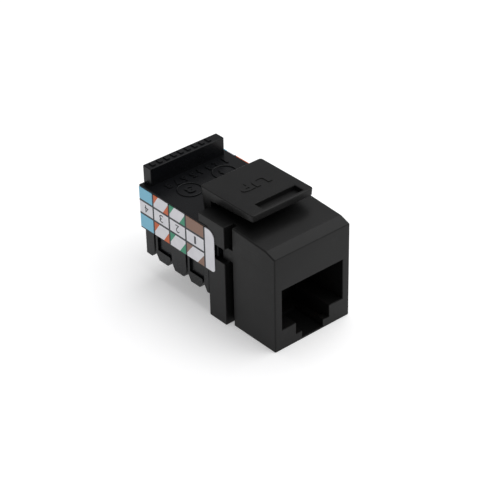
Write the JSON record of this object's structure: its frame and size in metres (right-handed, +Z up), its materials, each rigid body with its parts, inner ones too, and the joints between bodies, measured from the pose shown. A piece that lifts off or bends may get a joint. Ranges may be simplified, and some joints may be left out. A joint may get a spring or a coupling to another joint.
{
  "type": "keystone jack",
  "caption": "Modular plug socket that snaps into a panel by a flexing top latch, with a two-row wire terminal block behind it and colour-coded side labels.",
  "frame": {"origin": "centre of the footprint box at the base", "axes": "+X to the right seen from the front, +Y from the face to the rear end, +Z up"},
  "size_m": [0.0164, 0.0298, 0.0197],
  "materials": {
    "housing_plastic": "fine moulded texture",
    "terminal_plastic": "smooth moulded",
    "carrier_plastic": "smooth moulded",
    "board_laminate": "solder mask",
    "contact_plating": "gold flash over spring alloy",
    "blade_plating": "tin plated spring alloy",
    "label_print": "printed film"
  },
  "bodies": {
    "jack": {"front_housing": "housing_plastic", "terminal_block": "terminal_plastic", "top_cover": "terminal_plastic", "contact_carrier": "carrier_plastic", "circuit_board": "board_laminate", "label_left": "label_print", "label_right": "label_print", "contact_base_1": "contact_plating", "contact_base_2": "contact_plating", "contact_base_3": "contact_plating", "contact_base_4": "contact_plating", "contact_base_5": "contact_plating", "contact_base_6": "contact_plating", "contact_base_7": "contact_plating", "contact_base_8": "contact_plating", "terminal_blade_1": "blade_plating", "terminal_blade_2": "blade_plating", "terminal_blade_3": "blade_plating", "terminal_blade_4": "blade_plating", "terminal_blade_5": "blade_plating", "terminal_blade_6": "blade_plating", "terminal_blade_7": "blade_plating", "terminal_blade_8": "blade_plating"},
    "latch": {"latch_tab": "housing_plastic"},
    "spring_1": {"contact_spring_1": "contact_plating"},
    "spring_2": {"contact_spring_2": "contact_plating"},
    "spring_3": {"contact_spring_3": "contact_plating"},
    "spring_4": {"contact_spring_4": "contact_plating"},
    "spring_5": {"contact_spring_5": "contact_plating"},
    "spring_6": {"contact_spring_6": "contact_plating"},
    "spring_7": {"contact_spring_7": "contact_plating"},
    "spring_8": {"contact_spring_8": "contact_plating"}
  },
  "joints": [
    {"name": "latch_flex", "type": "hinge", "parent": "jack", "child": "latch", "pos_m": [0, -0.00289, 0.01705], "axis": [1, 0, 0], "range_deg": [0, 9], "stiffness_Nm_per_rad": 0.2},
    {"name": "contact_flex_1", "type": "hinge", "parent": "jack", "child": "spring_1", "pos_m": [-0.00357, -0.01168, 0.01085], "axis": [1, 0, 0], "range_deg": [0, 12], "stiffness_Nm_per_rad": 0.002},
    {"name": "contact_flex_2", "type": "hinge", "parent": "jack", "child": "spring_2", "pos_m": [-0.00255, -0.01168, 0.01085], "axis": [1, 0, 0], "range_deg": [0, 12], "stiffness_Nm_per_rad": 0.002},
    {"name": "contact_flex_3", "type": "hinge", "parent": "jack", "child": "spring_3", "pos_m": [-0.00153, -0.01168, 0.01085], "axis": [1, 0, 0], "range_deg": [0, 12], "stiffness_Nm_per_rad": 0.002},
    {"name": "contact_flex_4", "type": "hinge", "parent": "jack", "child": "spring_4", "pos_m": [-0.00051, -0.01168, 0.01085], "axis": [1, 0, 0], "range_deg": [0, 12], "stiffness_Nm_per_rad": 0.002},
    {"name": "contact_flex_5", "type": "hinge", "parent": "jack", "child": "spring_5", "pos_m": [0.00051, -0.01168, 0.01085], "axis": [1, 0, 0], "range_deg": [0, 12], "stiffness_Nm_per_rad": 0.002},
    {"name": "contact_flex_6", "type": "hinge", "parent": "jack", "child": "spring_6", "pos_m": [0.00153, -0.01168, 0.01085], "axis": [1, 0, 0], "range_deg": [0, 12], "stiffness_Nm_per_rad": 0.002},
    {"name": "contact_flex_7", "type": "hinge", "parent": "jack", "child": "spring_7", "pos_m": [0.00255, -0.01168, 0.01085], "axis": [1, 0, 0], "range_deg": [0, 12], "stiffness_Nm_per_rad": 0.002},
    {"name": "contact_flex_8", "type": "hinge", "parent": "jack", "child": "spring_8", "pos_m": [0.00357, -0.01168, 0.01085], "axis": [1, 0, 0], "range_deg": [0, 12], "stiffness_Nm_per_rad": 0.002}
  ]
}
